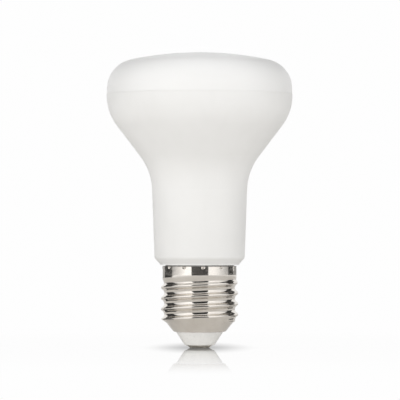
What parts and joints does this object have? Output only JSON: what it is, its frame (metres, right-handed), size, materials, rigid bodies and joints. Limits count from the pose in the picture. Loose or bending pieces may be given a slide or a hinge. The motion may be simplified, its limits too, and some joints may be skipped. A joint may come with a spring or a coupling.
{
  "type": "reflector bulb",
  "caption": "Opaque white reflector bulb with a crowned opal front, a flared housing, a straight neck and an E27 screw cap with a centre contact.",
  "frame": {"origin": "middle of the centre contact's flat end face, where the bulb bears on a lampholder's contact", "axes": "+Z along the bulb's axis, from the cap to the front; X and Y across it"},
  "size_m": [0.063, 0.063, 0.0999],
  "materials": {
    "opal_diffuser": "satin opal polycarbonate",
    "white_housing": "fine matt white moulding",
    "nickel_shell": "bright nickel plate on rolled sheet",
    "pale_insulator": "smooth pale moulding",
    "contact_metal": "dull tinned metal"
  },
  "bodies": {
    "root": {"diffuser": "opal_diffuser", "housing": "white_housing", "screw_shell": "nickel_shell", "cap_insulator": "pale_insulator", "centre_contact": "contact_metal"}
  },
  "joints": []
}
